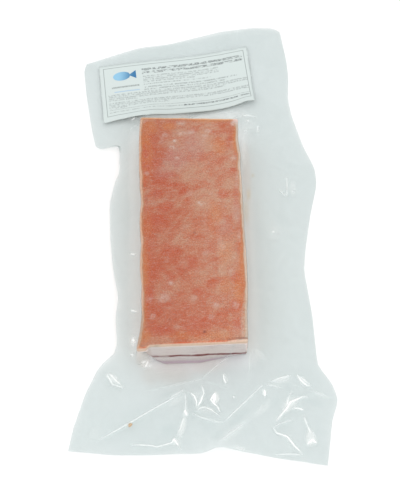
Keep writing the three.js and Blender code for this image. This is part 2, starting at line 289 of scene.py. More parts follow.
# the tuna block, frozen and cut square
block = {
    # corners of the flesh (mm)
    "nearLeft": (-47.9, -125.5), "nearRight": (36.4, -121.9),
    "farLeft": (-52.9, 85.9), "farRight": (33.6, 84.5),
    "thick": 33.8, "foot": 0.3,
    "nearSlant": 2.8,                              # foot of the near end past its top
    "pull": -2.4, "pullReach": 12.0,               # the near left corner is drawn out sideways
    "tab": 4.2, "tabWide": 9.5, "tabFade": 3.5, "tabReach": 10.0,  # and juts out past the near edge
    "lipDepth": 2.0, "lipFade": 6.0, "lipShare": 0.8,              # but less so below the lip at the top
    # how far the long sides wander: y, left side, right side
    "wander": [
        (84, 1.4, -1.2), (76, 0.5, -1.3), (64, 0.3, -1.7), (56, 0.1, -1.0), (48, 0.0, 0.0),
        (33, 0.4, -0.6), (25, 1.1, 0.0), (17, 1.1, 0.2), (8, 2.1, 0.2), (1, 2.0, 0.3), (-6, 1.3, 0.5),
        (-16, 0.9, 0.8), (-28, 1.6, 0.9), (-36, 2.4, 1.2), (-44, 1.7, 1.4), (-56, 1.3, 1.8),
        (-64, 1.8, 1.6), (-71, 2.6, 1.7), (-84, 2.6, 1.4), (-92, 3.1, 0.8), (-99, 3.3, 0.5),
        (-106, 2.8, 0.3), (-112, 2.6, 0.3), (-118, 1.8, 0.2), (-124, 1.3, 0.2), (-132, 1.1, 0.2),
    ],
    "wanderReach": 12.0, "wanderPast": 8.0,        # fades beside the block and past its near end
    "webHeight": 15.0,           # below it the near end falls back more at its corners
    "sideRound": 18.0, "footRound": 28.0,
    "footShear": 7.0, "shearFrom": -100.0, "shearReach": 18.0,
    "edge": 1.4,
    "cell": 1.2,                 # size of one mesh cell
    # uneven surface: size of its bumps and their height
    "swell": (22, 1.0), "pits": (3.2, 0.22),
    # places on the top: x, y, half width, half depth, turn, strength (mm), first the icy spots
    "frost": [
        (-30.0, 67.1, 4, 3, 0, 0.6), (-21.7, 61.5, 2.8, 1.8, 20, 1.2), (-24.3, 55.1, 3.6, 3, 0, 0.6),
        (-19.6, 44.0, 3, 2.2, 0, 0.7), (-7.6, 70.4, 5, 3.4, 10, 0.6), (-16.5, 79.2, 5, 3, -10, 0.6),
        (-16.4, 68.8, 5, 3.5, 0, 0.5), (6.5, 71.2, 5, 3, 0, 0.5), (3.9, 66.3, 4, 3, 0, 0.55),
        (-44.6, 29.1, 3.2, 3, 0, 0.6), (-47.5, 81.1, 5, 2, 25, 0.6), (-1.1, 1.0, 1.8, 1.8, 0, 1.0),
        (1.2, -0.9, 1.8, 1.8, 0, 0.9), (-11.8, -21.6, 4, 1.6, 30, 0.35),
        (-23.1, -71.7, 2.6, 2.6, 0, 0.8), (-28.2, -84.4, 6.5, 5.4, 20, 0.6),
        (-40.1, -85.4, 4, 4, 0, 0.4), (-36.7, -100.3, 3.4, 3.4, 0, 0.6),
        (12.1, -90.8, 3.6, 3.6, 0, 0.55), (27.7, -90.8, 3.6, 5, 0, 0.5), (8.4, -100.9, 4, 3, 0, 0.4),
        (-5.1, -84.8, 5, 4, 0, 0.35), (-16.2, -108.9, 6, 1.4, 5, 0.4), (29.0, 79.5, 5, 4.6, 0, 1.0),
        (-27, -52, 3, 2.4, 0, 0.35), (31.5, -30, 1.6, 8, 0, 0.6), (31.6, 30, 1.6, 9, 0, 0.4),
        (4, -45, 5, 3, 30, 0.3), (-9, 9, 5, 3, 20, 0.3), (-33, 62, 3, 6, 0, 0.35),
        (28, 44, 4, 3, 0, 0.45), (25, -62, 4, 5, 0, 0.35), (-40, 31, 2, 2, 0, 0.3),
        (17, -38, 4, 9, 10, 0.3), (31, 20, 3, 14, 0, 0.45),
    ],
    # greyer, paler stretches of flesh
    "veil": [
        (-18, 60, 18, 24, 0, 0.95), (4, 62, 16, 20, 0, 0.8), (-6, 30, 22, 18, 10, 0.85),
        (8, 4, 20, 20, 0, 0.75), (-28, 36, 12, 10, 0, 0.7), (20, -30, 16, 30, 0, 0.7),
        (24, 40, 10, 14, 0, 0.6), (-16, -34, 14, 12, 20, 0.5), (0, -60, 16, 12, 0, 0.4),
        (-28, -84, 12, 12, 0, 0.3), (14, -84, 14, 16, 0, 0.55), (-36, 4, 12, 8, 20, 0.4),
        (-36, -44, 8, 8, 0, 0.35), (26, -84, 8, 20, 0, 0.6), (24, 10, 12, 26, 0, 0.75),
        (6, -24, 14, 14, 0, 0.5), (26, -50, 10, 24, 0, 0.7), (27, -104, 8, 14, 0, 0.7),
        (12, 32, 10, 12, 0, 0.7), (-12, 78, 16, 5, 0, 0.8), (6, 80, 12, 4, 0, 0.8),
        (-15, -55, 6, 5, 0, 0.5), (2, 19, 8, 6, 0, 0.6), (2, -37, 8, 6, 0, 0.7),
        (13, -13, 7, 8, 0, 0.8), (29, -18, 5, 7, 0, 0.9), (29, -114, 6, 6, 0, 1.2),
        (10, 77, 10, 7, 0, 1.1), (20, 66, 7, 6, 0, 0.9), (8, 23, 7, 6, 0, 1.1),
        (14, -17, 14, 8, 0, 1.0), (29, -12, 5, 12, 0, 1.2), (18, -60, 6, 10, 0, 1.1),
        (-13, -55, 6, 6, 0, 0.9), (-24, 23, 7, 6, 0, 0.8), (18, -114, 6, 5, 0, 1.0),
        (8, -30, 7, 7, 0, 0.9),
    ],
    # pinker stretches
    "rose": [
        (-20, 44, 16, 18, 0, 1.0), (-6, 56, 14, 22, 0, 0.9), (-30, 30, 12, 10, 0, 0.7),
        (30, -8, 6, 16, 0, 0.8), (28, -112, 8, 8, 0, 0.8), (18, -22, 10, 10, 0, 0.6),
    ],
    # redder, darker and browner places
    "red": [
        (-25, 48.8, 4, 3, 0, 1.0), (-28, -3, 12, 7, 25, 0.8), (-38, -15, 14, 9, 0, 0.85),
        (-14, 12, 7, 4, 30, 0.9), (-47.4, 17.6, 4, 8, 0, 1.2), (-10, -55, 16, 9, 30, 0.7),
        (-24, -42, 12, 9, 0, 0.6), (-31, -111, 18, 8, 0, 0.7), (-42, -30, 12, 50, 0, 0.45),
        (-30, -92, 24, 26, 0, 0.5), (-30, 20, 20, 12, 20, 0.5), (-45, 66, 9, 20, 0, 0.5),
        (28, -103, 6, 12, 0, 0.7), (29, 8, 3, 16, 0, 0.5), (-38, -62, 12, 16, 0, 0.6),
        (-2, -106, 18, 9, 0, 0.7), (24, 60, 4, 9, -10, 0.4), (27, 33, 4, 2.4, 0, 0.9),
        (-42, 58, 8, 14, 0, 0.5), (10, -18, 6, 12, 30, 0.4), (-45, 42, 5, 20, 0, 0.9),
        (-37, 39, 9, 8, 0, 0.8), (-37, 10, 6, 6, 0, 0.5), (-26, -75, 8, 7, 0, 0.6),
        (-37, -107, 7, 6, 0, 0.6), (-22, -114, 8, 5, 0, 0.5), (-46, 26, 6, 15, 0, 1.1),
        (-46, 50, 6, 14, 0, 1.6), (-46, 34, 7, 16, 0, 1.5), (-42, -82, 9, 14, 0, 1.1),
        (-30, -112, 16, 7, 0, 1.2), (28, -67, 6, 8, 0, 0.9), (28, -91, 6, 9, 0, 1.0),
        (-2, -114, 12, 5, 0, 0.9), (19, 10, 7, 7, 0, 0.7), (-35, 10, 7, 7, 0, 0.9),
        (-2, -79, 7, 6, 0, 0.7), (-12, -91, 7, 6, 0, 0.7), (-23, -67, 7, 6, 0, 0.7),
    ],
    "dark": [
        (-47.9, 16.8, 1.8, 2.4, 0, 0.7), (-9.2, -18.6, 1.2, 1.2, 0, 0.5),
        (-4.7, -27.1, 1.6, 1.6, 0, 0.5), (3.2, -113.2, 1.7, 1.7, 0, 1.2),
        (-23.6, -102.9, 1.2, 1.2, 0, 0.6),
    ],
    "tan": [
        (-44, 74, 10, 12, 0, 0.9), (-27, 76, 9, 6, 0, 0.9), (-47, 46, 9, 40, 0, 1.2),
        (30, -78, 6, 26, 0, 0.8), (16, 56, 9, 12, 0, 0.6), (30, 62, 4, 18, 0, 0.9),
        (12, -14, 8, 22, 0, 0.5), (-48, -88, 5, 44, 0, 1.0), (-44, -116, 9, 9, 0, 0.9),
        (-44, -20, 8, 18, 0, 0.6), (20, -74, 8, 10, 0, 0.4), (33, -60, 3, 50, 0, 0.8),
        (0, -116, 40, 6, 0, 0.6), (20, -44, 8, 16, 0, 0.4), (8, 82, 24, 3, 0, 0.7),
        (26, -112, 9, 8, 0, 0.5), (-46, -70, 8, 60, 0, 1.0),
    ],
    "farCorner": (32.5, 82.5, 6.5, 6.0),      # frosted corner: x, y, half width, half depth
    "nearSeam": [(21, -119.0), (29, -118.6), (37, -118.2)], "seamWide": 0.5,      # dark line at the near rim
    "pale": tone(196, 137, 106), "deep": tone(190, 78, 26), "orange": tone(206, 116, 48),
    "blood": tone(192, 68, 26), "pink": tone(190, 130, 122), "speck": tone(120, 44, 30),
    "ice": tone(212, 184, 172), "amber": tone(192, 132, 90), "cream": tone(208, 186, 168),
    "farEdge": tone(214, 182, 150), "lilac": tone(222, 196, 190), "seam": tone(136, 80, 58),
    # end of the block: frost with a painted reflection on the upper half, and a painted shadow line
    "endUpperFrostSheen": tone(224, 210, 206), "endShadowLine": tone(122, 48, 46), "endLower": tone(218, 206, 204),
    "endFoot": tone(196, 168, 184), "endStreak": tone(198, 162, 170), "lip": tone(196, 172, 150),
    # noise: stretch along x and y, turn, spots in a metre, detail, roughness, warp
    "broad": (0.7, 1.2, 30, 45, 4, 0.6, 0.8), "small": (0.75, 1.15, 8, 190, 5, 0.7, 0.3),
    "fibre": (0.4, 1.4, 6, 420, 4, 0.65, 0.4), "ragged": (1, 1, 0, 380, 4, 0.7, 0.8),
    "grain": (1, 1, 0, 1500, 3, 0.6), "sparkle": (1, 1, 0, 1900, 1, 0.5), "shade": (1, 1, 0, 1100, 2, 0.7),
    "rimWave": (1, 1, 0, 90, 2), "endWave": (1, 1, 0, 60, 2),
    # where the tones change, in metres: below the top, left to right, and along the right side
    "belowTop": (0.031, 0.027), "rightward": (-0.01, 0.01), "nearward": (-0.070, -0.105),
    "frostRight": (0.019, 0.026),
    # heights on the near end: its foot, its middle, the painted shadow line's foot and top, and the lip
    "endFootTop": (0.004, 0.009), "endMiddle": (0.0148, 0.0163), "lineFoot": (0.0131, 0.0143),
    "lineTop": (0.0173, 0.0159), "lineLeft": (-0.041, -0.035), "lipFoot": (0.0310, 0.0328),
    "rough": 0.55, "bump": 0.0007,
}


def blockCorner(x, y, up):
    px, py = block[("near" if y < 0 else "far") + ("Left" if x < 0 else "Right")]
    if y < 0 and not up:
        py -= block["nearSlant"]
    return px, py, block["thick"] if up else block["foot"]


# how far inside the outline of the top face a point is, on each side
def insideSides(points):
    corners = ["farLeft", "nearLeft", "nearRight", "farRight", "farLeft"]
    found = []
    for start, end in zip(corners, corners[1:]):
        a, b = np.array(block[start]), np.array(block[end])
        line = (b - a) / np.hypot(*(b - a))
        found.append((points[:, 1] - a[1]) * line[0] - (points[:, 0] - a[0]) * line[1])
    return found


# the long sides wander, less and less beside the block (points in mm)
def wanderSides(points):
    x, y, z = points.T.copy()
    ys, lefts, rights = np.array(block["wander"][::-1]).T
    near, far = block["nearLeft"][1], block["farLeft"][1]
    share = (y - near) / (far - near)
    leftSide = block["nearLeft"][0] + share * (block["farLeft"][0] - block["nearLeft"][0])
    rightSide = block["nearRight"][0] + share * (block["farRight"][0] - block["nearRight"][0])
    across = np.clip((x - leftSide) / (rightSide - leftSide), 0, 1)
    moved = np.interp(y, ys, lefts) * (1 - across) + np.interp(y, ys, rights) * across
    beside = np.maximum(leftSide - x, x - rightSide)
    past = np.maximum(y - far, near - block["wanderPast"] - y)
    x += moved * (1 - ease(np.maximum(beside, past) / block["wanderReach"]))
    return np.column_stack([x, y, z])


# rounded left corner, foot drawn in, and the lip at the top drawn out (points in mm)
def shapeNearEnd(points):
    x, y, z = points.T.copy()
    low = ease((block["webHeight"] - z) / block["webHeight"])
    under = ease((block["thick"] - block["lipDepth"] - z) / block["lipFade"])
    left, near = block["nearLeft"][0], block["nearLeft"][1] - block["nearSlant"]
    radius = block["edge"] + (block["sideRound"] - block["edge"]) * under
    radius += (block["footRound"] - block["sideRound"]) * low
    dx, dy = x - left - radius, y - near - radius
    away = np.hypot(dx, dy)
    outside = (dx < 0) & (dy < 0) & (away > radius)
    shrink = np.where(outside, radius / np.maximum(away, 1e-6), 1)
    x, y = left + radius + dx * shrink, near + radius + dy * shrink
    nearness = ease((block["shearFrom"] - y) / block["shearReach"])
    y = y + low * nearness * block["footShear"] * np.clip(x / block["nearRight"][0], 0, 1)
    top = 1 - block["lipShare"] * under
    reach = np.hypot(x - left, y - block["nearLeft"][1])
    juts = ease((block["tabWide"] + left - x) / block["tabFade"]) * np.exp((near - y) / block["tabReach"])
    x = x + top * np.exp(-reach / block["pullReach"]) * block["pull"]
    return np.column_stack([x, y - top * np.clip(juts, 0, 1) * block["tab"], z])


def makeBlock():
    bpy.ops.mesh.primitive_cube_add(size=2)
    obj = bpy.context.object
    obj.name = obj.data.name = "tunaBlock"
    writePoints(obj, np.array([blockCorner(x, y, z > 0) for x, y, z in readPoints(obj)]) * mm)
    editAll(obj)
    bpy.ops.mesh.select_mode(type="EDGE")
    bpy.ops.mesh.select_all(action="SELECT")
    bpy.ops.mesh.bevel(offset=block["edge"] * mm, segments=4, affect="EDGES")
    leaveEdit()
    applyModifier(obj, "REMESH", mode="VOXEL", voxel_size=block["cell"] * mm)
    left, near, right, far = insideSides(readPoints(obj) / mm)
    for name, values in (("sideRim", np.minimum(left, right)), ("nearRim", near), ("farRim", far)):
        storeMap(obj, name, values)
    writePoints(obj, wanderSides(shapeNearEnd(readPoints(obj) / mm)) * mm)
    for name in ("swell", "pits"):
        size, height = block[name]
        clouds = bpy.data.textures.new(name, "CLOUDS")
        clouds.noise_scale = size * mm
        applyModifier(obj, "DISPLACE", texture=clouds, texture_coords="LOCAL", mid_level=0.6,
                      strength=height * mm)
    return obj


tunaBlock = makeBlock()


# the strongest of the patches at each point
def strongestPatch(points, patches):
    total = np.zeros(len(points))
    for x, y, wide, deep, turn, strength in patches:
        total = np.maximum(total, strength * ease(1.4 * patch(points, x, y, wide, deep, turn)))
    return total


def mapFlesh(obj):
    points = readPoints(obj) / mm
    for name in ("frost", "veil", "rose", "red", "dark", "tan"):
        storeMap(obj, name, strongestPatch(points, block[name]))
    storeMap(obj, "farCorner", ease(1.6 * patch(points, *block["farCorner"])))
    away = alongPath(points, block["nearSeam"])[0]
    nearTop = ease((points[:, 2] - 30) / 2)
    storeMap(obj, "nearSeam", ease(1.5 - away / block["seamWide"]) * nearTop)
    storeMap(obj, "nearEnd", ease(-pointNormals(obj)[:, 1] * 1.6 - 0.35))


# the cut face: redder and paler flesh, its fibres, grain and frost
def cutFace(p, small, grain, ragged):
    broad, fibre, sparkle = (p.spots(block[name]) for name in ("broad", "fibre", "sparkle"))
    redness = p.calc("ADD", p.span(broad, 0.34, 0.64, 0.25, 0.85), p.span(small, 0.3, 0.7, -0.22, 0.22))
    redness = p.calc("ADD", redness, p.calc("MULTIPLY", p.map("red"), 0.4))
    redness = p.calc("SUBTRACT", redness, p.calc("MULTIPLY", p.map("veil"), 0.6), clamp=True)
    colour = p.mix(redness, block["pale"], block["deep"])
    colour = p.cover(colour, block["orange"], "tan", p.span(ragged, 0.3, 0.6, 0.5, 0.9))
    colour = p.cover(colour, block["blood"], "red", p.span(ragged, 0.35, 0.6, 0.1, 0.6))
    colour = p.cover(colour, block["pink"], "rose", 0.4)
    colour = p.layer(colour, block["blood"], fibre, 0.52, 0.72, 0.26)
    colour = p.layer(colour, block["ice"], fibre, 0.48, 0.28, 0.26)
    colour = p.layer(colour, block["ice"], grain, 0.5, 0.68, 0.3)
    colour = p.layer(colour, block["blood"], grain, 0.47, 0.34, 0.26)
    colour = p.layer(colour, block["cream"], sparkle, 0.65, 0.73, 0.5)
    colour = p.cover(colour, block["speck"], "dark", 0.8)
    frost = p.calc("MULTIPLY", p.map("frost"), p.span(ragged, 0.34, 0.6, 0.2, 0.85))
    hoar = p.calc("MULTIPLY", p.map("veil"), p.span(ragged, 0.5, 0.75, 0.0, 0.4))
    return p.mix(p.calc("ADD", frost, hoar, clamp=True), colour, block["ice"])


# paler bands along the rims of the top: amber flesh, and cream bands that are partly frost and partly a
# painted highlight of the film bent over the edges
def paleRims(p, colour, ragged, x, y, z):
    belowTop = p.span(z, *block["belowTop"], 0.0, 1.5)
    rim = p.calc("ADD", p.map("sideRim"), p.span(p.spots(block["rimWave"]), 0.3, 0.7, -0.5, 0.5))
    rim = p.calc("ADD", rim, belowTop)
    colour = p.layer(colour, block["amber"], rim, 4.2, 1.8, 0.6)
    rightward = p.span(x, *block["rightward"])
    # cream at the rim, more so to the right: partly frost, partly a painted highlight of the film over the
    # edge
    rimSheenShare = p.calc("ADD", p.calc("MULTIPLY", rightward, 0.3), 0.6)
    colour = p.mix(p.calc("MULTIPLY", p.span(rim, 2.6, 1.2), rimSheenShare), colour, block["cream"])
    # the right side is frosted further in towards its near end
    inward = p.calc("SUBTRACT", rim, p.span(y, *block["nearward"], 0.0, 3.2))
    inward = p.calc("MULTIPLY", p.span(inward, 2.8, 1.0), p.span(ragged, 0.35, 0.62, 0.1, 0.45))
    colour = p.mix(p.calc("MULTIPLY", inward, rightward), colour, block["cream"])
    farRim = p.calc("ADD", p.map("farRim"), belowTop)
    colour = p.layer(colour, block["amber"], farRim, 4.6, 2.0, 0.45)
    colour = p.layer(colour, block["farEdge"], farRim, 2.6, 1.0, 0.9)
    nearRim = p.calc("SUBTRACT", p.map("nearRim"), p.span(x, *block["frostRight"], 0.0, 1.3))
    colour = p.layer(colour, block["cream"], nearRim, 2.0, 0.9, 0.75)
    colour = p.cover(colour, block["lilac"], "farCorner", 0.85)
    return p.cover(colour, block["seam"], "nearSeam", 0.85)


# the near end: frosted upper half lightened by a painted reflection of the film, a painted shadow line at
# the web of film where the lower part falls back, lilac lower half
def endFace(p, x, z):
    wavy = p.calc("ADD", z, p.span(p.spots(block["endWave"]), 0.3, 0.7, -0.0007, 0.0007))
    colour = p.layer(block["endFoot"], block["endLower"], wavy, *block["endFootTop"])
    colour = p.layer(colour, block["endUpperFrostSheen"], wavy, *block["endMiddle"])
    streaks = p.noise(p.scaled(0.4, 1, 1.6), 240, 4, 0.7)
    colour = p.layer(colour, block["endStreak"], streaks, 0.5, 0.75, 0.5)
    # painted shadow line where the lower part falls back
    line = p.calc("MULTIPLY", p.span(wavy, *block["lineFoot"]), p.span(wavy, *block["lineTop"]))
    breaks = p.noise(p.scaled(1, 0.2, 0.2), 130, 3)
    line = p.calc("MULTIPLY", line, p.span(breaks, 0.3, 0.55, 0.5, 1.0))
    line = p.calc("MULTIPLY", line, p.span(x, *block["lineLeft"]))
    return p.layer(p.mix(line, colour, block["endShadowLine"]), block["lip"], z, *block["lipFoot"])


def fleshMaterial():
    p = Paint("tunaFlesh")
    small, grain, ragged = (p.spots(block[name]) for name in ("small", "grain", "ragged"))
    x, y, z = p.axes()
    colour = paleRims(p, cutFace(p, small, grain, ragged), ragged, x, y, z)
    shade = p.calc("MULTIPLY", p.span(p.spots(block["shade"]), 0.38, 0.62, 0.83, 1.11),
                   p.span(x, -0.035, 0.02, 0.96, 1.05))
    colour = p.mix(1.0, colour, p.grey(shade), "MULTIPLY")
    colour = p.mix(p.map("nearEnd"), colour, endFace(p, x, z))
    height = p.calc("ADD", p.calc("MULTIPLY", small, 0.5), p.calc("MULTIPLY", grain, 0.5))
    rough = p.span(grain, 0.3, 0.7, block["rough"] - 0.1, block["rough"] + 0.12)
    return p.show(p.surface(colour, rough, p.bump(height, block["bump"], 0.6), Specular_IOR_Level=0.3))


mapFlesh(tunaBlock)
pickOnly(tunaBlock)
bpy.ops.object.shade_smooth()
finishPiece(tunaBlock, "pouch", fleshMaterial())
print("tuna block made", len(tunaBlock.data.polygons))


